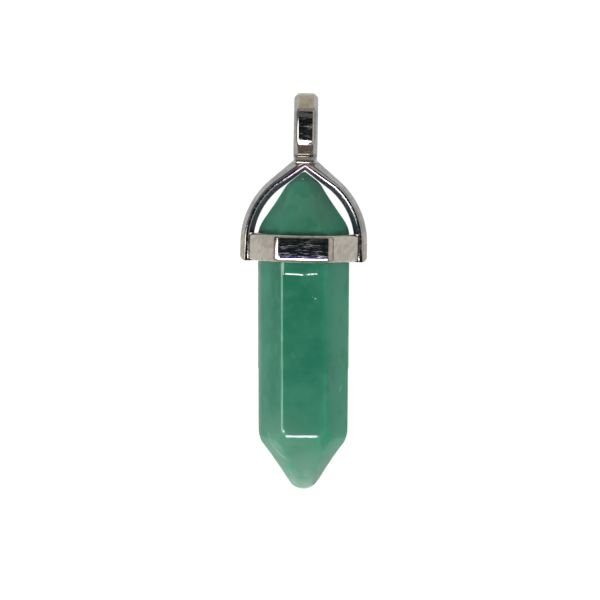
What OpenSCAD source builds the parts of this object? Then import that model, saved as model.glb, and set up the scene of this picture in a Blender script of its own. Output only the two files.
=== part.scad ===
// Crystal point pendant: a six-sided stone point in a polished metal setting with a loop for a cord.
// Millimetres. It is drawn upright: Z up along the stone, the front towards -Y, X from left to right,
// and z = 0 at the top of the hole in the loop. It is then laid on its back on a surface at z = 0,
// with the loop towards +Y and the front up. The origin is the middle of its box, on the surface.

/* [Loop] */
// Width of the loop from left to right
loop_w = 2.35; // [2.2:0.05:2.5]
// Depth of the loop from front to back
loop_d = 4.5; // [4.3:0.1:4.8]
// Metal above the hole
loop_crown = 0.86; // [0.76:0.02:0.96]
// Bevel along both sides of the loop
loop_bevel = 0.42; // [0.3:0.02:0.46]
// Width of the hole from front to back
hole_w = 2.7; // [2.3:0.1:2.9]
// Height of the hole
hole_h = 4.1; // [3.8:0.1:4.3]

/* [Arch] */
// Thickness of the arch seen from the front
arch_t = 1.28; // [1.2:0.02:1.36]
// Depth of the arch from front to back, beside the collar
arch_d = 1.7; // [1.5:0.1:1.9]
// Depth of the arch where it meets the loop
arch_top_d = 2.9; // [2.7:0.1:3.1]
// Slope of the upper part of the arch, in degrees
arch_slope = 40.8; // [40:0.2:41.4]
// Radius of the curved part, to the middle of the metal
arch_r = 7.43; // [7.3:0.01:7.5]
// Distance of a leg's middle from the axis
leg_x = 5.55; // [5.5:0.01:5.6]

/* [Collar] */
// Length of one side of the six-sided collar
collar_side = 5.5; // [5.44:0.01:5.56]
// Height of the collar
collar_h = 2.68; // [2.5:0.02:2.8]
// Bevel along the top and bottom edges of the collar
collar_bevel = 0.18; // [0.1:0.02:0.24]
// Clear space between the collar and the stone
collar_gap = 0.08; // [0.06:0.01:0.1]

/* [Stone] */
// Length of one side of the six-sided stone inside the collar
stone_side = 4.5; // [4.44:0.01:4.54]
// How much shorter each side is at the lower shoulder
stone_taper = 0.09; // [0:0.01:0.16]
// Height of the upper pyramid, as it would be if sharp
upper_point = 7.2; // [7.1:0.02:7.24]
// Height of the lower pyramid, as it would be if sharp
lower_point = 6.2; // [5.8:0.05:6.6]
// How much of each long corner is ground away
corner_blunt = 0.065; // [0.04:0.005:0.09]

/* [Hidden] */
$fn = 64;
collar_top = -12.82;
collar_bottom = collar_top - collar_h;
collar_flat = collar_side * cos(30);

// The stone: heights of its shoulders and ends
stone_top = -13.0;
stone_break = -16.8;
stone_low = -32.6;
lower_end = -37.8;
lower_side = stone_side - stone_taper;
tip_gap = 0.12;

// The arch: a leg, an arc and a straight rafter on each side
spring_z = -13.76;
arc_angle = 90 - arch_slope;
arc_x = leg_x - arch_r;
rafter_x = arc_x + arch_r * cos(arc_angle);
rafter_z = spring_z + arch_r * sin(arc_angle);
apex_z = rafter_z + rafter_x * tan(arch_slope);
foot_z = collar_bottom - 0.02;
foot_round = 0.55;
groove_floor = collar_bottom + 0.38;

// Section of the arch as points [u, v]: u runs outward from the middle, v from front to back
half_t = arch_t / 2;
half_d = arch_d / 2;
ridge = 0.09;
arch_section = [
    [half_t, -half_d * 0.3], [ridge, -half_d], [-ridge, -half_d], [-half_t, -half_d * 0.2],
    [-half_t, half_d * 0.2], [-ridge, half_d], [ridge, half_d], [half_t, half_d * 0.3]
];

// Heights at which the same points meet on the middle plane, where the arch is deeper
flare = arch_top_d / arch_d;
inner_apex = -6.66;
outer_apex = apex_z + half_t / cos(arch_slope);
apex_heights = [outer_apex, -6.02, -6.2, inner_apex, inner_apex, -6.2, -6.02, outer_apex];
inner_slope = (inner_apex - rafter_z + half_t * sin(arc_angle)) / (rafter_x - half_t * cos(arc_angle));

// Outline of the loop seen from its side, as points [y, z]
crown = 0.8;
loop_front = [[crown, loop_crown], [loop_d / 2, -0.86], [loop_d / 2, -3.95], [1.3, -5.12]];
neck_x = 1.08;
neck_y = 1.48;
neck_bevel = 0.4;
neck_bottom = -5.96;

// Lying down: it bears on the lower back edge of the collar and on the stone's lower back shoulder
shoulder_bevel = 0.16;
bearing_high = [collar_bottom + collar_bevel, collar_flat];
bearing_low = [stone_low + shoulder_bevel, lower_side * cos(30)];
lean = atan((bearing_high[1] - bearing_low[1]) / (bearing_high[0] - bearing_low[0]));
bed = bearing_high[1] * cos(lean) - bearing_high[0] * sin(lean);
reach_up = loop_crown * cos(lean) + crown * sin(lean);
reach_down = lower_end * cos(lean);

// Lays the upright pendant on its back
module laid_down() {
    translate([0, -(reach_up + reach_down) / 2, bed])
    rotate([lean - 90, 0, 0])
        children();
}

// One casting: the loop, the arch and the collar
module setting() {
    color([0.55, 0.56, 0.56])
    laid_down()
    union() {
        difference() {
            union() {
                loop();
                neck();
            }
            loop_hole();
        }
        for (side = [0, 1])
            mirror([side, 0, 0]) arch_side();
        rafters();
        collar();
    }
}

// Turns an outline of points [y, z] into a solid that runs along X
module along_x(length) {
    rotate([90, 0, 90])
    linear_extrude(height = length, center = true)
        children();
}

module loop() {
    last = len(loop_front) - 1;
    difference() {
        along_x(loop_w)
            polygon(concat(
                loop_front,
                [for (i = [last : -1 : 0]) [-loop_front[i][0], loop_front[i][1]]]
            ));
        for (side = [-1, 1]) {
            side_bevel(side, [-crown, loop_crown], [crown, loop_crown]);
            for (i = [0 : last - 1]) {
                side_bevel(side, loop_front[i], loop_front[i + 1]);
                mirror([0, 1, 0]) side_bevel(side, loop_front[i], loop_front[i + 1]);
            }
        }
    }
}

// Cuts a 45 degree bevel where one edge of the outline meets a side of the loop
module side_bevel(side, a, b) {
    run = b - a;
    translate([side * loop_w / 2, a[0], a[1]])
    rotate([atan2(run[1], run[0]), 0, 0])
    rotate([0, side * 45, 0])
    translate([-2, -1, -loop_bevel / sqrt(2)])
        cube([4, norm(run) + 2, 2]);
}

module neck() {
    x = neck_x - neck_bevel;
    y = neck_y - neck_bevel;
    translate([0, 0, neck_bottom])
    linear_extrude(height = -4.4 - neck_bottom)
        polygon([
            [x, -neck_y], [neck_x, -y], [neck_x, y], [x, neck_y],
            [-x, neck_y], [-neck_x, y], [-neck_x, -y], [-x, -neck_y]
        ]);
}

// An upright slot with round ends, open to left and right
module loop_hole() {
    along_x(loop_w + 2) {
        translate([0, -hole_w / 2]) circle(d = hole_w);
        translate([0, hole_w / 2 - hole_h]) circle(d = hole_w);
        translate([-hole_w / 2, hole_w / 2 - hole_h]) square([hole_w, hole_h - hole_w]);
    }
}

module arch_side() {
    difference() {
        union() {
            leg();
            arc();
        }
        foot_corner();
        groove();
    }
}

module leg() {
    translate([leg_x, 0, foot_z])
    linear_extrude(height = spring_z - foot_z)
        polygon(arch_section);
}

module arc() {
    translate([arc_x, 0, spring_z])
    rotate([90, 0, 0])
    rotate_extrude(angle = arc_angle)
    translate([arch_r, 0])
        polygon(arch_section);
}

// The two straight parts, which grow thicker where they meet under the loop.
// Each ends inside its arc, a hair smaller, so that the solids overlap.
module rafters() {
    n = len(arch_section);
    turn = arc_angle - 2;
    small = 0.98;
    lower = [for (p = arch_section) [
        arc_x + (arch_r + small * p[0]) * cos(turn),
        small * p[1],
        spring_z + (arch_r + small * p[0]) * sin(turn)
    ]];
    points = concat(
        lower,
        [for (i = [0 : n - 1]) [0, flare * arch_section[i][1], apex_heights[i]]],
        [for (p = lower) [-p[0], p[1], p[2]]]
    );
    sides = [for (ring = [0, n], i = [0 : n - 1], half = [0, 1])
        let(j = (i + 1) % n)
        half == 0 ? [ring + i, ring + j, ring + n + i] : [ring + j, ring + n + j, ring + n + i]
    ];
    caps = [[for (i = [n - 1 : -1 : 0]) i], [for (i = [0 : n - 1]) 2 * n + i]];
    polyhedron(points = points, faces = concat(sides, caps));
}

// Rounds the outer lower corner of a leg
module foot_corner() {
    edge = leg_x + half_t;
    translate([edge - foot_round, 0, foot_z + foot_round])
    rotate([90, 0, 0])
    linear_extrude(height = 2 * arch_d, center = true)
    difference() {
        translate([0, -foot_round - 1]) square([foot_round + 1, foot_round + 1]);
        circle(r = foot_round);
    }
}

// Thins each leg where it runs beside the collar, down to a floor above the foot
module groove() {
    translate([0, 0, groove_floor])
    linear_extrude(height = collar_top - groove_floor)
        polygon([[4, -2], [5.55, -2], [5.25, 0], [5.55, 2], [4, 2]]);
}

// A six-sided form, with each pair of opposite sides from the same outline of points [y, z]
module six_sides() {
    intersection() {
        along_x(20) children();
        rotate([0, 0, 60]) along_x(20) children();
        rotate([0, 0, 120]) along_x(20) children();
    }
}

module collar() {
    flat = collar_flat;
    cut = collar_flat - collar_bevel;
    inner = stone_side * cos(30) + collar_gap;
    difference() {
        intersection() {
            six_sides()
                polygon([
                    [-cut, collar_top], [cut, collar_top],
                    [flat, collar_top - collar_bevel], [flat, collar_bottom + collar_bevel],
                    [cut, collar_bottom], [-cut, collar_bottom],
                    [-flat, collar_bottom + collar_bevel], [-flat, collar_top - collar_bevel]
                ]);
            translate([0, 0, collar_bottom - 1])
            rotate([0, 0, 30])
                cylinder(r = (collar_side - 0.19) / cos(30), h = collar_h + 2, $fn = 6);
        }
        translate([0, 0, collar_bottom - 1])
            cylinder(r = inner / cos(30), h = collar_h + 2, $fn = 6);
    }
}

module stone() {
    color([0.25, 0.55, 0.43])
    laid_down()
    intersection() {
        six_sides() polygon(stone_outline());
        stone_rounding();
    }
}

function stone_outline() = let(
    a = stone_side * cos(30),
    b = lower_side * cos(30),
    half = [
        [a, stone_top], [a, stone_break],
        [b, stone_low + shoulder_bevel],
        [b * (1 - shoulder_bevel / lower_point), stone_low - shoulder_bevel]
    ]
) concat(
    [[0, stone_top + upper_point]],
    half,
    [[0, stone_low - lower_point]],
    [for (i = [len(half) - 1 : -1 : 0]) [-half[i][0], half[i][1]]]
);

// A turned form that takes the sharpness off the long corners and both ends.
// The upper end is ground to a blunt cone that clears the underside of the arch.
module stone_rounding() {
    blunt = stone_side - corner_blunt;
    steep = upper_point / stone_side;
    peak = inner_apex - tip_gap;
    meet = (stone_top + upper_point - corner_blunt * steep - peak) / (steep - inner_slope);
    rotate_extrude()
    polygon(concat(
        [
            [0, peak - 0.06],
            [0.24, peak - 0.24 * inner_slope],
            [meet, peak - meet * inner_slope],
            [blunt - 0.06, stone_top + 0.05],
            [blunt, stone_top - 0.4],
            [lower_side - corner_blunt, stone_low + 0.55],
            [lower_side - corner_blunt - 0.1, stone_low]
        ],
        lower_round()
    ));
}

// The rounded lower end, from where it meets the cone to the axis
function lower_round() = let(
    low = stone_low - lower_point + corner_blunt * lower_point / lower_side,
    half_angle = atan(lower_side / lower_point),
    r = (lower_end - low) / (1 / sin(half_angle) - 1)
) [for (step = [3 : -1 : 0]) let(t = step / 3 * (90 - half_angle)) [
    r * sin(t), lower_end + r * (1 - cos(t))
]];

setting();
stone();
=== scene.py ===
import math
import bmesh
import bpy
from mathutils import Matrix, Vector


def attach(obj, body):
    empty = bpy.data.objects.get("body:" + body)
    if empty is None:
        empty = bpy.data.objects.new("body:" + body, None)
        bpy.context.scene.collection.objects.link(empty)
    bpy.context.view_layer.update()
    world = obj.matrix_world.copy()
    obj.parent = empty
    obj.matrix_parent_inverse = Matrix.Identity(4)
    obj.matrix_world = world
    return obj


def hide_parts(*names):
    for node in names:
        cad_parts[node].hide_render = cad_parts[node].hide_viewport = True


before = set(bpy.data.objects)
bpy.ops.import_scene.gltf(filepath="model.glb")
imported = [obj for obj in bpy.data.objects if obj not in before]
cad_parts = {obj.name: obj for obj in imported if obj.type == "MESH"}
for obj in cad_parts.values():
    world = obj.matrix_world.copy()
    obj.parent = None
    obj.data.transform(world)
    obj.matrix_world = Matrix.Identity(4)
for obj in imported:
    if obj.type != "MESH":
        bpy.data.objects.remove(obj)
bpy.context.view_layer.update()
print("stage: frame loaded")

# The pieces are shaped upright in millimetres: X to the right, the front towards -Y, Z up along the
# stone, and z = 0 at the top of the loop's hole. layDown then puts each one on its back on the floor.
lying = {"lean": 3.155996, "bed": 5.599353, "middle": -18.419965}
hexFlat = math.cos(math.pi / 6)  # from a hexagon's middle to its flat, when its side is 1


def clearBench():
    if bpy.context.mode != "OBJECT":
        bpy.ops.object.mode_set(mode="OBJECT")
    bpy.ops.object.select_all(action="DESELECT")


def alone(piece):
    # makes this the only selected object
    clearBench()
    piece.select_set(True)
    bpy.context.view_layer.objects.active = piece


def named(name):
    # names the primitive that was just added and puts its place in its mesh
    piece = bpy.context.object
    piece.name = name
    piece.data.name = name
    bpy.ops.object.transform_apply(location=True, rotation=True, scale=True)
    return piece


def edit(piece):
    alone(piece)
    bpy.ops.object.mode_set(mode="EDIT")


def choose(piece, kind, test):
    # selects what passes the test, in edit mode: a vertex by its place, an edge by its middle and
    # direction, a face by its middle and normal
    bpy.ops.mesh.select_mode(type=kind)
    bpy.ops.mesh.select_all(action="DESELECT")
    mesh = bmesh.from_edit_mesh(piece.data)
    mesh.normal_update()
    if kind == "VERT":
        found = [vert for vert in mesh.verts if test(vert.co)]
    if kind == "EDGE":
        ends = [(edge, *(vert.co for vert in edge.verts)) for edge in mesh.edges]
        found = [edge for edge, a, b in ends if test((a + b) / 2, (b - a).normalized())]
    if kind == "FACE":
        found = [face for face in mesh.faces if test(face.calc_center_median(), face.normal)]
    for item in found:
        item.select_set(True)
    mesh.select_flush_mode()
    bmesh.update_edit_mesh(piece.data)


def slide(x=0.0, y=0.0, z=0.0):
    bpy.ops.transform.translate(value=(x, y, z))


def stretch(x=1.0, y=1.0, z=1.0):
    bpy.ops.transform.resize(value=(x, y, z), center_override=(0, 0, 0))


def pullOut(x=0.0, y=0.0, z=0.0):
    bpy.ops.mesh.extrude_region_move(TRANSFORM_OT_translate={"value": (x, y, z)})


def roundOff(width, segments):
    # rounds the chosen edges, or chamfers them with one segment
    bpy.ops.mesh.bevel(offset=width, segments=segments, affect="EDGES")


def cutAway(piece, point, normal):
    # cuts away what lies beyond the plane, and closes the cut
    edit(piece)
    bpy.ops.mesh.select_all(action="SELECT")
    bpy.ops.mesh.bisect(plane_co=point, plane_no=normal, use_fill=True, clear_outer=True)


def modify(piece, kind, **settings):
    alone(piece)
    bpy.ops.object.modifier_add(type=kind)
    modifier = piece.modifiers[-1]
    for key, value in settings.items():
        setattr(modifier, key, value)
    bpy.ops.object.modifier_apply(modifier=modifier.name)


def tidyMesh(piece):
    # merges doubled points and turns every normal outward
    edit(piece)
    bpy.ops.mesh.select_all(action="SELECT")
    bpy.ops.mesh.remove_doubles(threshold=0.0005)
    bpy.ops.mesh.normals_make_consistent(inside=False)
    if bmesh.from_edit_mesh(piece.data).calc_volume(signed=True) < 0:
        bpy.ops.mesh.flip_normals()
    alone(piece)


def combine(piece, other, operation):
    modify(piece, "BOOLEAN", operation=operation, solver="MANIFOLD", object=other)
    bpy.data.objects.remove(other)


def layDown(piece):
    # upright millimetres to the part's own frame in metres
    alone(piece)
    lean = Matrix.Rotation(math.radians(lying["lean"] - 90), 4, "X")
    shift = Matrix.Translation((0, -lying["middle"], lying["bed"]))
    piece.matrix_world = Matrix.Scale(0.001, 4) @ shift @ lean
    bpy.ops.object.transform_apply(location=True, rotation=True, scale=True)


# The arch. Its section has six sides: a ridge to the front and one to the back, each a little flat
# on top, and slopes to both sides. It is swept up from the right leg and mirrored.
arch = {
    "legX": 5.55, "footZ": -15.52, "springZ": -13.76, "footRound": 0.55,
    "thickness": 1.28, "depth": 1.5, "topDepth": 2.4, "topNarrowing": 0.3,
    "outerFlat": 0.2, "ridgeOut": 0.2, "ridgeIn": 0.2, "innerFlat": 0.15,
    "radius": 7.43, "turn": 49.2, "steps": 18,
    "outerApex": -4.71, "ridgeApex": -6.11, "innerApex": -6.66,
    "rounds": {"ridgeOuter": 0.14, "ridgeInner": 0.15, "outer": 0.16, "inner": 0.12},
}


def makeLeg():
    half, deep = arch["thickness"] / 2, arch["depth"] / 2
    height = arch["springZ"] - arch["footZ"]
    clearBench()
    bpy.ops.mesh.primitive_cube_add(size=1, location=(arch["legX"], 0, arch["footZ"] + height / 2),
                                    scale=(2 * half, 2 * deep, height))
    leg = named("arch")
    edit(leg)
    choose(leg, "EDGE", lambda c, d: c.x > arch["legX"] + half - 0.01 and c.z < arch["footZ"] + 0.01)
    roundOff(arch["footRound"], 8)
    # the four long slopes of the section
    for front in (-1, 1):
        for start, end, way in (((arch["ridgeOut"], deep), (half, arch["outerFlat"]), 1),
                                ((-arch["ridgeIn"], deep), (-half, arch["innerFlat"]), -1)):
            run = Vector((end[0] - start[0], end[1] - start[1])).normalized()
            out = Vector((-run.y, run.x)) * way
            cutAway(leg, (arch["legX"] + start[0], front * start[1], 0), (out.x, front * out.y, 0))
    # long edges rounded before the sweep, so that the rounding follows the arch
    edit(leg)
    rounds = arch["rounds"]
    for away, width in ((arch["ridgeOut"], rounds["ridgeOuter"]), (-arch["ridgeIn"], rounds["ridgeInner"]),
                        (half, rounds["outer"]), (-half, rounds["inner"])):
        choose(leg, "EDGE", lambda c, d: abs(c.x - arch["legX"] - away) < 0.012
               and abs(d.z) > 0.99 and c.z > arch["footZ"] + 0.5)
        roundOff(width, 4)
    return leg


def makeArch():
    leg = makeLeg()
    half = arch["thickness"] / 2
    turn = math.radians(arch["turn"])
    # swept up the curve, then straight to the middle
    centre = Vector((arch["legX"] - arch["radius"], 0, arch["springZ"]))
    choose(leg, "FACE", lambda c, n: n.z > 0.9 and c.z > arch["springZ"] - 0.01)
    bpy.ops.mesh.spin(steps=arch["steps"], angle=turn, center=centre, axis=(0, 1, 0))
    out = Vector((math.cos(turn), 0, math.sin(turn)))
    along = Vector((-math.sin(turn), 0, math.cos(turn)))
    end = centre + out * arch["radius"]
    reach = end.x / math.sin(turn)
    pullOut(*(along * reach))
    peak = end + along * reach
    # each level of the section goes to its own height in the middle
    mesh = bmesh.from_edit_mesh(leg.data)
    levels = sorted({round((vert.co - peak).dot(out), 4) for vert in mesh.verts if vert.select})
    for level in levels:
        rise = arch["outerApex"] - arch["ridgeApex"] if level > 0 else arch["ridgeApex"] - arch["innerApex"]
        z = arch["ridgeApex"] + rise * level / half
        choose(leg, "VERT", lambda c: abs((c - peak).dot(out) - level) < 0.0003
               and abs((c - peak).dot(along)) < 0.001)
        at = peak + out * level
        slide(-at.x, 0, z - at.z)
        stretch(y=arch["topDepth"] / arch["depth"] * (1 - arch["topNarrowing"] * max(level, 0) / half))
    choose(leg, "FACE", lambda c, n: abs(c.x) < 0.001)
    bpy.ops.mesh.delete(type="FACE")
    modify(leg, "MIRROR", use_axis=(True, False, False), merge_threshold=0.001)
    tidyMesh(leg)
    return leg


# The loop. A crease is where its outline, seen from the side, turns. neck lists half width, half
# depth and height from the loop down to the arch.
loop = {
    "width": 2.35, "depth": 4.5, "top": 0.86, "crown": 0.8, "crownCrease": -0.86, "creaseStep": 0.09,
    "upperTilt": -1.5, "lowerCrease": -3.95, "lowerEnd": -5.12, "lowerHalf": 1.5, "sideBevel": 0.42,
    "holeWidth": 2.7, "holeHeight": 4.1, "holeSides": 56,
    "rounding": 0.36, "share": {"plain": 0.4, "crown": 0.8, "crownCrease": 0.15, "tilt": 1, "lower": 1},
    "neck": ((1.16, 1.28, -5.0), (1.16, 1.28, -5.26), (1.14, 1.46, -5.52), (1.14, 1.52, -5.78),
             (1.14, 1.52, -5.98)),
    "neckTop": 0.5, "neckCorner": 0.4, "neckFoot": 0.14,
}


def weigh(piece, test, weight):
    # how much of the rounding's full width the chosen edges get
    choose(piece, "EDGE", test)
    bpy.ops.transform.edge_bevelweight(value=weight)


def makeLoopBlock():
    halfX, halfY = loop["width"] / 2, loop["depth"] / 2
    height = loop["top"] - loop["lowerEnd"]
    clearBench()
    bpy.ops.mesh.primitive_cube_add(size=1, location=(0, 0, loop["lowerEnd"] + height / 2),
                                    scale=(2 * halfX, 2 * halfY, height))
    block = named("loop")
    for front in (-1, 1):
        crown = Vector((loop["crown"], loop["top"]))
        crease = Vector((halfY, loop["crownCrease"]))
        for a, b in ((crown, crease),
                     (crease - Vector((loop["creaseStep"], 0)), Vector((halfY, loop["upperTilt"]))),
                     (Vector((halfY, loop["lowerCrease"])), Vector((loop["lowerHalf"], loop["lowerEnd"])))):
            run = (b - a).normalized()
            cutAway(block, (0, front * a.x, a.y), (0, -front * run.y, run.x))
    # bevels along both sides
    edit(block)
    choose(block, "EDGE", lambda c, d: abs(c.x) > 1.0 and abs(d.x) < 0.5 and c.z > loop["lowerEnd"] + 0.01)
    roundOff(loop["sideBevel"], 1)
    # the slot
    radius = loop["holeWidth"] / 2
    clearBench()
    bpy.ops.mesh.primitive_cylinder_add(vertices=loop["holeSides"], radius=radius, depth=4,
                                        location=(0, 0, -radius), rotation=(0, math.pi / 2, 0))
    slot = named("slotCutter")
    edit(slot)
    choose(slot, "VERT", lambda c: c.z < -radius - 0.001)
    slide(z=loop["holeWidth"] - loop["holeHeight"])
    combine(block, slot, "DIFFERENCE")
    # every edge rounded, each crease by its own share
    edit(block)
    share = loop["share"]
    weigh(block, lambda c, d: True, share["plain"])
    for z, y, weight in ((loop["crownCrease"], halfY, share["crownCrease"]),
                         (loop["upperTilt"], halfY, share["tilt"]),
                         (loop["lowerCrease"], halfY, share["lower"]),
                         (loop["top"], loop["crown"], share["crown"])):
        weigh(block, lambda c, d: abs(c.z - z) < 0.2 and abs(abs(c.y) - y) < 0.25 and abs(d.z) < 0.7
              and abs(d.y) < 0.9 and math.hypot(c.y, c.z + radius) > radius + 0.1, weight)
    modify(block, "BEVEL", width=loop["rounding"], segments=5, limit_method="WEIGHT",
           miter_outer="MITER_ARC", use_clamp_overlap=False, loop_slide=True)
    tidyMesh(block)
    return block


def makeNeck():
    # a waist and a low bead above the arch
    wide, deep, high = loop["neck"][0]
    top = loop["neckTop"]
    clearBench()
    bpy.ops.mesh.primitive_cube_add(size=1, location=(0, 0, high + top / 2),
                                    scale=(2 * wide, 2 * deep, top))
    neck = named("neck")
    edit(neck)
    choose(neck, "EDGE", lambda c, d: abs(d.z) > 0.9)
    roundOff(loop["neckCorner"], 3)
    choose(neck, "FACE", lambda c, n: n.z < -0.9)
    for x, y, z in loop["neck"][1:]:
        pullOut(z=z - high)
        stretch(x=x / wide, y=y / deep)
        wide, deep, high = x, y, z
    choose(neck, "EDGE", lambda c, d: c.z < high + 0.01)
    roundOff(loop["neckFoot"], 4)
    tidyMesh(neck)
    return neck


collar = {
    "side": 5.5, "top": -12.82, "bottom": -15.5, "innerFlat": 3.977,
    "cornerRound": 0.5, "endCut": 0.46, "endHalf": 0.9, "endRound": 0.05,
    "topRound": 0.34, "bottomRound": 0.42, "holeChamfer": 0.09, "lean": 5, "leanFrom": -14.62,
}


def makeCollar():
    height = collar["top"] - collar["bottom"]
    middle = (collar["top"] + collar["bottom"]) / 2
    clearBench()
    bpy.ops.mesh.primitive_cylinder_add(vertices=6, radius=collar["side"], depth=height,
                                        location=(0, 0, middle), rotation=(0, 0, math.pi / 6))
    band = named("collar")
    edit(band)
    # blunt ends where the legs stand
    choose(band, "EDGE", lambda c, d: abs(d.z) > 0.9 and abs(c.y) < 0.1)
    roundOff(collar["endCut"], 1)
    choose(band, "VERT", lambda c: abs(c.y) < 1)
    stretch(y=collar["endHalf"] / (collar["endCut"] * hexFlat))
    # the front and the back lean in a little towards the lower rim
    tilt = math.radians(collar["lean"])
    for front in (-1, 1):
        cutAway(band, (0, front * collar["side"] * hexFlat, collar["leanFrom"]),
                (0, front * math.cos(tilt), -math.sin(tilt)))
    edit(band)
    for atEnd, width in ((False, collar["cornerRound"]), (True, collar["endRound"])):
        choose(band, "EDGE", lambda c, d: abs(d.z) > 0.9 and (abs(c.y) < 1) == atEnd)
        roundOff(width, 7)
    for z, width, segments in ((collar["top"], collar["topRound"], 6),
                               (collar["bottom"], collar["bottomRound"], 7)):
        choose(band, "EDGE", lambda c, d: abs(c.z - z) < 0.001)
        roundOff(width, segments)
    # both end faces in triangles, so that the hole leaves clean ones
    choose(band, "FACE", lambda c, n: abs(n.z) > 0.99)
    bpy.ops.mesh.poke()
    # the hole for the stone, a little wider at both ends
    chamfer = collar["holeChamfer"]
    wider = 1 + 2 * chamfer / collar["innerFlat"]
    clearBench()
    bpy.ops.mesh.primitive_cylinder_add(vertices=6, radius=collar["innerFlat"] / hexFlat,
                                        depth=height - 2 * chamfer, location=(0, 0, middle),
                                        rotation=(0, 0, math.pi / 6))
    hole = named("holeCutter")
    edit(hole)
    for way in (1, -1):
        choose(hole, "FACE", lambda c, n: n.z * way > 0.9)
        pullOut(z=2 * chamfer * way)
        stretch(x=wider, y=wider)
    combine(band, hole, "DIFFERENCE")
    return band


# the solder that fills the notch between a leg and the collar's end
solder = {"radius": 0.13, "x": 5.41, "y": 0.62, "z": -14.2, "height": 2.3, "round": 0.12}


def makeBead(side, front):
    clearBench()
    bpy.ops.mesh.primitive_cylinder_add(vertices=24, radius=solder["radius"], depth=solder["height"],
                                        location=(side * solder["x"], front * solder["y"], solder["z"]))
    bead = named("bead")
    edit(bead)
    choose(bead, "EDGE", lambda c, d: abs(d.z) < 0.1)
    roundOff(solder["round"], 3)
    return bead


# what thins each leg where it runs beside the collar, with a low ridge left along its middle
groove = {"x": 4.775, "z": -13.97, "size": (1.55, 4, 2.3), "ridge": 0.3}


def cutGroove(castArch):
    for side in (-1, 1):
        clearBench()
        bpy.ops.mesh.primitive_cube_add(size=1, location=(groove["x"], 0, groove["z"]), scale=groove["size"])
        cutter = named("grooveCutter")
        edit(cutter)
        far = groove["x"] + groove["size"][0] / 2 - 0.05
        choose(cutter, "EDGE", lambda c, d: abs(d.y) > 0.9 and c.x > far)
        bpy.ops.mesh.subdivide(number_cuts=1)
        choose(cutter, "VERT", lambda c: c.x > far and abs(c.y) < 0.1)
        slide(x=-groove["ridge"])
        if side < 0:
            bpy.ops.mesh.select_all(action="SELECT")
            stretch(x=-1)
            bpy.ops.mesh.normals_make_consistent(inside=False)
        combine(castArch, cutter, "DIFFERENCE")


def castSetting():
    body = makeArch()
    cutGroove(body)
    combine(body, makeCollar(), "UNION")
    for side in (-1, 1):
        for front in (-1, 1):
            combine(body, makeBead(side, front), "UNION")
    block = makeLoopBlock()
    combine(block, makeNeck(), "UNION")
    combine(body, block, "UNION")
    body.name = body.data.name = "pendantSetting"
    return body


# The stone. A tip is where the pyramid's edges would meet, an end is where it is cut off.
stone = {
    "upper": {"shoulder": -12.35, "end": -6.76, "tip": -5.35, "side": 4.52},
    "lower": {"shoulder": -32.75, "end": -37.8, "tip": -39.25, "side": 4.4},
    "cornerRadius": 3.8, "cornerCuts": 6, "wornRidges": (60, 120, 240, 300), "ridgeWear": 0.22,
    "coneAside": 0.05, "conePeak": -6.7, "coneTilt": 51.6, "ball": 1.6, "ballCuts": (8, 20, 32, 44),
    "leftFace": ((-4.46, 0, -22.5), -148.7, -0.27),
    "frontBreak": (-3.81, -32.42), "frontCorners": ((-1.62, -123), (1.5, -57)), "frontCornerTilt": -20,
    "upperShift": -0.01, "lowerShift": 0.05,
    "voxel": 0.12, "smoothing": 9, "soft": ((-11.2, -7.6, 5), (-37.2, -33.2, 9)), "softStep": 0.25,
    "crooked": 0.8, "crookedAt": (0, 0, -14.16),
}


def grind(piece, point, turn, tilt, away=0.0):
    # one flat cut, turned round the stone and tilted up, at a distance from the point
    a, t = math.radians(turn), math.radians(tilt)
    way = Vector((math.cos(t) * math.cos(a), math.cos(t) * math.sin(a), math.sin(t)))
    bpy.ops.mesh.select_all(action="SELECT")
    bpy.ops.mesh.bisect(plane_co=Vector(point) + way * away, plane_no=way, use_fill=True, clear_outer=True)


def slopeOf(part, width=1.0):
    # how far the pyramid's corner edge leans in, or its flat when the width is hexFlat
    return math.degrees(math.atan(part["side"] * width / abs(part["tip"] - part["shoulder"])))


def cutPoint():
    upper, lower = stone["upper"], stone["lower"]
    clearBench()
    bpy.ops.mesh.primitive_cylinder_add(vertices=6, radius=upper["side"],
                                        depth=upper["shoulder"] - lower["shoulder"],
                                        location=(0, 0, (upper["shoulder"] + lower["shoulder"]) / 2),
                                        rotation=(0, 0, math.pi / 6))
    point = named("pendantStone")
    edit(point)
    choose(point, "VERT", lambda c: c.z < lower["shoulder"] + 0.01)
    stretch(x=lower["side"] / upper["side"], y=lower["side"] / upper["side"])
    # both pyramids, each with a blunt end
    for part in (upper, lower):
        choose(point, "FACE", lambda c, n: abs(n.z) > 0.9 and abs(c.z - part["shoulder"]) < 0.01)
        left = (part["tip"] - part["end"]) / (part["tip"] - part["shoulder"])
        pullOut(z=part["end"] - part["shoulder"])
        stretch(x=left, y=left)
    return point


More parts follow.
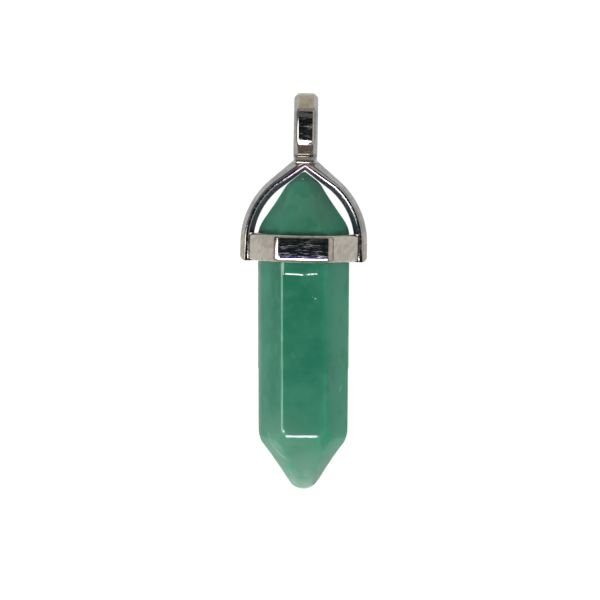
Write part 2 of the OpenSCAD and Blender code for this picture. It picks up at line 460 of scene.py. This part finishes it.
def grindPoint(point):
    upper, lower = stone["upper"], stone["lower"]
    # the corners at both shoulders, ground round in small cuts
    for part, way in ((upper, 1), (lower, -1)):
        slope, radius, cuts = slopeOf(part), stone["cornerRadius"], stone["cornerCuts"]
        out, back = part["side"] - radius, radius * math.tan(math.radians(slope / 2))
        for turn in range(0, 360, 60):
            a = math.radians(turn)
            for cut in range(1, cuts):
                grind(point, (out * math.cos(a), out * math.sin(a), part["shoulder"] - way * back),
                      turn, way * slope * cut / cuts, radius)
    # the upper ridges to the front and the back are worn flat
    for turn in stone["wornRidges"]:
        grind(point, (0, 0, upper["tip"]), turn, slopeOf(upper), -stone["ridgeWear"])
    # the upper end is a blunt cone under the arch, the lower end a ball
    for turn in range(0, 360, 30):
        grind(point, (stone["coneAside"], 0, stone["conePeak"]), turn, stone["coneTilt"])
        for more in stone["ballCuts"]:
            grind(point, (0, 0, lower["end"] + stone["ball"]), turn, -slopeOf(lower) - more, stone["ball"])
    # the left front face was ground a little further round than the others
    grind(point, *stone["leftFace"])
    # the front lower facet starts a little higher than the others, and both its corners are cut
    y, z = stone["frontBreak"]
    for x, turn in stone["frontCorners"]:
        grind(point, (x, y, z), turn, stone["frontCornerTilt"])
    grind(point, (0, y, z), -90, -slopeOf(lower, hexFlat))
    choose(point, "VERT", lambda c: c.z < lower["shoulder"] - 2)
    slide(x=stone["lowerShift"])
    choose(point, "VERT", lambda c: c.z > upper["shoulder"] + 2)
    slide(x=stone["upperShift"])


def polishPoint(point):
    # small even faces, smoothed all over, and the pyramids' edges once more, less so near the ends
    alone(point)
    modify(point, "REMESH", mode="VOXEL", voxel_size=stone["voxel"])
    modify(point, "SMOOTH", factor=0.5, iterations=stone["smoothing"])
    edit(point)
    for ring in range(6):
        less = stone["softStep"] * ring
        for low, high, repeat in stone["soft"]:
            choose(point, "VERT", lambda c: low + less < c.z < high - less)
            bpy.ops.mesh.vertices_smooth(factor=0.5, repeat=repeat)


# where the front face stands a hair higher, just before it enters the collar
ledge = {"x": (-1.9, 1.3), "middle": 0.05, "z": -16.69, "drop": 0.07, "skew": 0.0135, "high": 0.045,
         "fade": 0.16, "upTo": -13.2}


def raiseLedge(point):
    def edge(c):
        aside = c.x - ledge["middle"]
        return ledge["z"] + ledge["drop"] * abs(aside) + ledge["skew"] * aside

    edit(point)
    choose(point, "FACE", lambda c, n: c.y < -3 and abs(c.z - edge(c)) < 0.35 and abs(c.x) < 2.2)
    bpy.ops.mesh.subdivide(number_cuts=3)
    choose(point, "FACE", lambda c, n: c.y < -3 and -2.2 < c.x < -1.6 and edge(c) + 0.3 < c.z < -15)
    bpy.ops.mesh.subdivide(number_cuts=3)
    left, right = ledge["x"]
    choose(point, "VERT", lambda c: c.y < -3 and left < c.x < right
           and edge(c) + ledge["fade"] / 2 < c.z < ledge["upTo"])
    bpy.ops.transform.translate(value=(0, -ledge["high"], 0), use_proportional_edit=True,
                                proportional_edit_falloff="SMOOTH", proportional_size=ledge["fade"])


def makeStone():
    point = cutPoint()
    grindPoint(point)
    polishPoint(point)
    raiseLedge(point)
    # it was set a little crooked in the collar
    edit(point)
    bpy.ops.mesh.select_all(action="SELECT")
    bpy.ops.transform.rotate(value=math.radians(stone["crooked"]), orient_axis="Y",
                             center_override=stone["crookedAt"])
    alone(point)
    return point


setting = castSetting()
layDown(setting)
print("stage: setting")
gem = makeStone()
layDown(gem)
print("stage: stone")


class Wire:
    # one socket of a paint, so that shader maths reads as Python
    def __init__(self, paint, socket):
        self.paint, self.socket = paint, socket

    def maths(self, operation, first, second=0.5):
        return self.paint.node("Math", {"operation": operation}, {0: first, 1: second})

    def __add__(self, other):
        return self.maths("ADD", self, other)

    def __sub__(self, other):
        return self.maths("SUBTRACT", self, other)

    def __rsub__(self, other):
        return self.maths("SUBTRACT", other, self)

    def __mul__(self, other):
        return self.maths("MULTIPLY", self, other)

    __radd__, __rmul__ = __add__, __mul__

    def __neg__(self):
        return self.maths("MULTIPLY", self, -1)

    def __abs__(self):
        return self.maths("ABSOLUTE", self)

    def orMore(self, other):
        return self.maths("MAXIMUM", self, other)

    def past(self, low, high):
        # 0 below low and 1 above high, smooth in between
        return self.paint.node("MapRange", {"interpolation_type": "SMOOTHSTEP"}, {0: self, 1: low, 2: high})

    def upTo(self, low, high):
        # 1 below low and 0 above high
        return 1 - self.past(low, high)


class Paint:
    # the nodes of one material, or of the world
    def __init__(self, owner):
        owner.use_nodes = True
        self.owner, self.tree = owner, owner.node_tree
        self.tree.nodes.clear()

    def node(self, kind, settings=None, inputs=None, output=0):
        made = self.tree.nodes.new("ShaderNode" + kind)
        for key, value in (settings or {}).items():
            if key == "stops":
                stops = made.color_ramp.elements
                while len(stops) < len(value):
                    stops.new(0.5)
                for stop, (place, colour) in zip(stops, value):
                    stop.position, stop.color = place, colour
            else:
                setattr(made, key, value)
        for key, value in (inputs or {}).items():
            if isinstance(value, Wire):
                self.tree.links.new(value.socket, made.inputs[key])
            else:
                made.inputs[key].default_value = value
        return Wire(self, made.outputs[output]) if len(made.outputs) else None

    def mix(self, factor, a, b, blend="MIX"):
        return self.node("Mix", {"data_type": "RGBA", "blend_type": blend}, {0: factor, 6: a, 7: b}, 2)

    def noise(self, place, scale, detail, rough, distortion=0.0):
        return self.node("TexNoise", None, {"Vector": place, "Scale": scale, "Detail": detail,
                                            "Roughness": rough, "Distortion": distortion})

    def sized(self, place, size):
        return self.node("Mapping", None, {"Vector": place, "Scale": size})

    def part(self, place, axis):
        return self.node("SeparateXYZ", None, {"Vector": place}, axis)

    def far(self, place, point):
        return self.node("VectorMath", {"operation": "DISTANCE"}, {0: place, 1: point}, 1)

    def finish(self, shader, output="OutputMaterial"):
        self.node(output, None, {"Surface": shader})
        return self.owner


def newPaint(name, viewColour):
    material = bpy.data.materials.new(name)
    material.diffuse_color = viewColour
    return Paint(material)


# Places in both looks are millimetres in the part's own frame, seen from above: x, y.
metalLook = {
    "light": (0.42, 0.39, 0.335, 1), "dark": (0.30, 0.28, 0.235, 1), "roughness": 0.05,
    "aboveCollar": (5.65, 5.8),
    "coolTint": (0.86, 0.93, 1.05, 1), "coolSides": (0.75, 0.9),
    # the mauve tint of the inner slopes is painted, so that the stone's green reflection in them reads grey
    "paintedReflectionTint": (0.43, 0.28, 0.37, 1), "paintedReflectionShare": 0.8, "dullness": 0.28,
    "legCentre": (-1.88, 4.68, 0), "legSlope": (7.12, 7.26), "beamSlope": (6.95, 7.06), "beamEnd": (2.5, 2.8),
}


def innerSlopes(paint, side, y):
    # the arch's slopes towards the stone: a ring round each side's centre, then a straight beam
    folded = paint.node("CombineXYZ", None, {"X": side, "Y": y})
    ring = paint.far(folded, metalLook["legCentre"]).upTo(*metalLook["legSlope"])
    across = 0.58 * side + 0.757 * y - 2.31
    beam = across.upTo(*metalLook["beamSlope"]) * side.upTo(*metalLook["beamEnd"])
    return ring.orMore(beam)


def platedMetal():
    paint = newPaint("platedMetal", (0.5, 0.5, 0.49, 1))
    place = paint.node("TexCoord", None, None, 3)  # object coordinates
    cloud = paint.noise(place, 420, 4, 0.6)
    streaks = paint.noise(paint.sized(place, (900, 6500, 6500)), 1, 3, 0.65)
    fine = paint.noise(place, 6000, 2, 0.5)
    mottle = paint.noise(place, 2200, 3, 0.7)
    colour = paint.mix((0.5 * cloud + 0.5 * mottle).past(0.38, 0.62), metalLook["dark"], metalLook["light"])
    rough = metalLook["roughness"] + 0.03 * fine + 0.2 * streaks.past(0.45, 0.68)
    # above the collar the inner slopes are rougher and carry a painted mauve tint that cancels the green
    # stone reflected in them, and the sides are cooler in tone
    flat = paint.sized(place, (1000, 1000, 0))
    side, y = abs(paint.part(flat, 0)), paint.part(flat, 1)
    above = y.past(*metalLook["aboveCollar"])
    inner = innerSlopes(paint, side, y) * above
    rough = rough + metalLook["dullness"] * inner
    # painted tint against the stone's green reflection in the inner slopes
    colour = paint.mix(inner * metalLook["paintedReflectionShare"], colour, metalLook["paintedReflectionTint"])
    colour = paint.mix(above * side.past(*metalLook["coolSides"]), colour, metalLook["coolTint"], "MULTIPLY")
    bump = paint.node("Bump", None, {"Strength": 1.0, "Distance": 0.000003, "Height": streaks + 0.4 * fine})
    return paint.finish(paint.node("BsdfPrincipled", None, {
        "Base Color": colour, "Metallic": 1.0, "Roughness": rough, "Normal": bump}))


# A fleck is x, y, size and strength, the dot and a chip are x, y and size.
stoneLook = {
    "deep": (0.015, 0.122, 0.07, 1), "pale": (0.036, 0.165, 0.105, 1), "milky": (0.16, 0.24, 0.185, 1),
    # on the next line, the right facet's two greens are painted lighting, and the pinkish grey after them a
    # painted reflection along the left edge
    "right": (0.03, 0.225, 0.138, 1), "rightCorner": (0.0, 0.19, 0.115, 1), "leftEdgeSheen": (0.2, 0.14, 0.17, 1),
    # the first green on the next line is painted shade for the left facet beside its front corner
    "leftFacetShade": (0.008, 0.095, 0.055, 1), "heart": (0.006, 0.1, 0.055, 1), "lowHeart": (0.0, 0.1, 0.055, 1),
    "tip": (0.21, 0.26, 0.22, 1), "white": (0.45, 0.6, 0.5, 1), "dotColour": (0.005, 0.03, 0.02, 1),
    "heartAt": (-0.3, -0.8, 0), "lowHeartAt": (1.3, -7.2, 0), "glowAt": (-1.8, -14.4, 0),
    "flecks": ((1.21, -0.73, 0.09, 0.8), (-0.21, 10.89, 0.12, 0.6), (-0.85, -6.1, 0.06, 0.3),
               (-0.69, -6.3, 0.07, 0.35), (-0.81, -6.5, 0.06, 0.3), (-0.98, -6.25, 0.05, 0.25),
               (0.94, -0.59, 0.05, 0.4)),
    "collarEdge": (3.5, 4.5),
    "dot": (-1.79, 7.83, 0.07), "chips": ((0.14, 1.59, 0.17), (-1.8, 1.65, 0.09), (-1.4, -13.83, 0.23)),
    "arcAt": (0.5, -13.15, 0), "arcRadius": 3.7, "nickAt": (3.83, -9.4), "nickLean": 0.35,
}


def stoneBody(paint, flat, x, y, cloud, small, patches, seen):
    look = stoneLook
    # painted lighting on the right facet, a little darker next to its front corner
    right = paint.mix(x.past(2.5, 3.7), look["rightCorner"], look["right"])
    # where the painted shade lies: the left facet beside its front corner, from above the lower shoulder up
    # to the collar
    leftFacetShade = x.past(-3.5, -2.7) * x.upTo(-2.2, -2.05) * y.past(-13, -9) * y.upTo(*look["collarEdge"])
    heart = paint.far(flat, look["heartAt"])
    lowHeart = paint.far(flat, look["lowHeartAt"]) + 1.2 * (small - 0.5)
    glow = paint.far(flat, look["glowAt"])
    # where a painted reflection lies: along the left edge, turned as the stone is set
    leftEdgeSheen = -x - 0.0174 * (y + 0.88)  # the left edge, turned as the stone is set
    # washes of colour over the two greens, each a mask and a tint
    washes = (
        # the next two: painted lighting, the left facet paler and the right facet greener
        (0.4 * (-x).past(2.7, 4), look["pale"]),
        (0.62 * x.past(2.1, 2.7), right),
        (y.past(4, 9) * (0.13 + 0.12 * x.past(-1, 2)), look["milky"]),  # the upper end
        # painted shade, strongest towards the collar
        (leftFacetShade * (0.3 + 0.55 * y.past(-6, -0.5)) * seen, look["leftFacetShade"]),  # beside the left corner
        (0.3 * heart.upTo(0.8, 3.2), look["heart"]),
        (0.5 * lowHeart.upTo(0.8, 3.0), look["lowHeart"]),
        (0.22 * glow.upTo(0.5, 4), look["milky"]),
        (y.upTo(-19.5, -12.5) * (0.42 + 0.2 * x.past(-1.5, 1)), look["milky"]),  # the lower end
        (0.5 * y.upTo(-19.2, -17), look["tip"]),
        (0.5 * small.past(0.42, 0.7), look["pale"]),
        (0.4 * patches.past(0.5, 0.64) * y.past(-13, -10), look["deep"]),
        # painted pinkish grey reflection along the left edge
        (0.55 * leftEdgeSheen.past(3.95, 4.22), look["leftEdgeSheen"]),
    )
    colour = paint.mix(cloud.past(0.3, 0.7), look["deep"], look["pale"])
    for mask, tint in washes:
        colour = paint.mix(mask, colour, tint)
    return colour


def stoneMarks(paint, colour, flat, x, y, small, wobble, seen):
    # flecks, a dark dot and two old scratches, on the front only
    look = stoneLook
    for markX, markY, size, strength in look["flecks"]:
        away = paint.far(flat, (markX, markY, 0)) + 0.14 * (wobble - 0.5)
        colour = paint.mix(away.upTo(size * 0.4, size) * strength * seen, colour, look["white"])
    markX, markY, size = look["dot"]
    away = paint.far(flat, (markX, markY, 0)) + 0.06 * (wobble - 0.5)
    colour = paint.mix(away.upTo(size * 0.5, size) * 0.7 * seen, colour, look["dotColour"])
    ring = paint.far(flat, look["arcAt"]) + 0.25 * (small - 0.5)
    arc = abs(ring - look["arcRadius"]).upTo(0.02, 0.12) * y.upTo(-14.2, -13.6) * x.upTo(-1.5, -0.6)
    markX, markY = look["nickAt"]
    along = y - markY
    nick = abs(x - markX - look["nickLean"] * along).upTo(0.02, 0.08) * abs(along).upTo(0.25, 0.4)
    return paint.mix((arc * 0.14 + nick * 0.2) * small.past(0.3, 0.55) * seen, colour, look["white"])


def greenStone():
    paint = newPaint("greenStone", (0.09, 0.28, 0.19, 1))
    place = paint.node("TexCoord", None, None, 3)  # object coordinates
    flat = paint.sized(place, (1000, 1000, 0))
    x, y, z = paint.part(flat, 0), paint.part(flat, 1), 1000 * paint.part(place, 2)
    cloud = paint.noise(place, 170, 5, 0.55, 0.3)
    small = paint.noise(place, 900, 4, 0.6)
    wobble = paint.noise(place, 2500, 3, 0.6)
    patches = paint.noise(place, 480, 3, 0.6)
    front = 0.9985 * (z - 5.6) - 0.055 * (y - 18.42)  # height of the front over the stone's middle
    seen = front.past(-0.5, 0.5)
    colour = stoneBody(paint, flat, x, y, cloud, small, patches, seen)
    colour = stoneMarks(paint, colour, flat, x, y, small, wobble, seen)
    bump = paint.node("Bump", None, {"Strength": 1.0, "Distance": 0.001,
                                     "Height": 0.01 * small + 0.05 * cloud})
    # only the front face kept its polish, and its edges are chipped in three places
    polish = (front - 0.0046 * y).past(3.71, 3.77) * y.upTo(4, 5) * x.upTo(1.7, 2.0) * y.past(-14.24, -14.14)
    rough = 0.08 + 0.05 * small + 0.5 * y.past(*stoneLook["collarEdge"])
    for markX, markY, size in stoneLook["chips"]:
        chip = paint.far(flat, (markX, markY, 0)).upTo(size * 0.7, size * 1.3)
        polish = polish * (1 - chip)
        rough = rough + 0.6 * chip
    return paint.finish(paint.node("BsdfPrincipled", None, {
        "Base Color": colour, "Roughness": rough, "IOR": 1.54, "Specular IOR Level": 0.1,
        "Subsurface Weight": 1.0, "Subsurface Radius": (0.4, 1.0, 0.7), "Subsurface Scale": 0.0028,
        "Coat Weight": polish, "Coat Roughness": 0.03, "Coat IOR": 1.62, "Normal": bump}))


def dress(piece, material, node):
    piece.data.materials.clear()
    piece.data.materials.append(material)
    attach(piece, "root")
    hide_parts(node)


alone(gem)
bpy.ops.object.shade_smooth()
alone(setting)
bpy.ops.object.shade_smooth_by_angle(angle=math.radians(30))
modify(setting, "WEIGHTED_NORMAL", weight=100, keep_sharp=True)
dress(setting, platedMetal(), "setting")
dress(gem, greenStone(), "stone")
print("stage: materials")


# A box of light is its name, azimuth anticlockwise from +X, angle from straight up, distance,
# width, height, brightness and colour. A tone of the room is its height and colour.
studio = {
    "floorGlow": 1.0, "centre": (0, 0, 0.005),
    "camera": (-0.00027, -0.00088, 0.4923), "lens": 300, "roll": 1.0,
    "boxes": (
        ("boxBelow", 252, 35, 0.6, 0.35, 0.30, 15, (1, 1, 1)),
        ("blueEdge", 256, 16.5, 0.6, 0.34, 0.1, 0.5, (0.12, 0.1, 1)),
        ("greyAbove", 90, 10.5, 0.6, 0.4, 0.06, 0.24, (1, 0.95, 0.85)),
        ("violetEdge", 256, 53, 0.6, 0.45, 0.09, 0.9, (0.6, 0.35, 1)),
        ("fillBelow", 256, 64, 0.7, 0.9, 0.16, 0.06, (1, 0.25, 0.3)),
        ("boxLeft", 200, 48, 0.6, 0.34, 0.23, 5.5, (1, 1, 1)),
        ("violetLeft", 200, 67, 0.6, 0.36, 0.12, 1.0, (0.8, 0.7, 1)),
        ("cardAbove", 90, 74, 0.6, 0.9, 0.26, 0.55, (1, 0.92, 0.78)),
        ("cardHigh", 90, 40, 0.7, 0.8, 0.42, 0.35, (0.95, 0.95, 1.0)),
        ("fillRight", 355, 48, 0.7, 1.2, 0.66, 0.7, (1, 0.95, 0.87)),
    ),
    "tones": (
        (0.0, (0.68, 0.72, 0.8, 1)), (0.1, (0.6, 0.62, 0.66, 1)), (0.22, (0.3, 0.29, 0.27, 1)),
        (0.4, (0.15, 0.14, 0.14, 1)), (0.6, (0.3, 0.29, 0.3, 1)), (0.85, (0.2, 0.19, 0.24, 1)),
        (0.93, (0.04, 0.045, 0.12, 1)), (0.98, (0.014, 0.024, 0.032, 1)),
    ),
}


def makeFloor():
    clearBench()
    bpy.ops.mesh.primitive_plane_add(size=4, location=(0, 0, 0))
    floor = named("floor")
    paint = newPaint("paleFloor", (0.9, 0.9, 0.9, 1))
    floor.data.materials.append(paint.finish(paint.node("BsdfPrincipled", None, {
        "Base Color": (0.06, 0.06, 0.06, 1), "Roughness": 0.9, "Specular IOR Level": 0.1,
        "Emission Color": (1, 1, 1, 1), "Emission Strength": studio["floorGlow"]})))


def hangBox(name, azimuth, zenith, distance, width, height, radiance, colour):
    a, z = math.radians(azimuth), math.radians(zenith)
    way = Vector((math.sin(z) * math.cos(a), math.sin(z) * math.sin(a), math.cos(z)))
    clearBench()
    bpy.ops.object.light_add(type="AREA", location=Vector(studio["centre"]) + way * distance)
    lamp = bpy.context.object
    lamp.name = name
    lamp.rotation_euler = way.to_track_quat("Z", "Y").to_euler()
    lamp.data.shape = "RECTANGLE"
    lamp.data.size, lamp.data.size_y = width, height
    lamp.data.color = colour
    lamp.data.energy = radiance * math.pi * width * height


def paintRoom():
    world = bpy.data.worlds.new("studio")
    bpy.context.scene.world = world
    paint = Paint(world)
    height = paint.part(paint.node("TexCoord", None, None, 0), 2)  # of the direction looked in
    tone = paint.node("ValToRGB", {"stops": studio["tones"]}, {0: height})
    paint.finish(paint.node("Background", None, {"Color": tone}), "OutputWorld")


makeFloor()
paintRoom()
for box in studio["boxes"]:
    hangBox(*box)

clearBench()
bpy.ops.object.camera_add(location=studio["camera"], rotation=(0, 0, math.radians(studio["roll"])))
camera = bpy.context.object
camera.data.lens = studio["lens"]
camera.data.sensor_width = 36
camera.data.clip_start, camera.data.clip_end = 0.01, 10
bpy.context.scene.camera = camera
bpy.context.scene.view_settings.view_transform = "Standard"
print("stage: studio")
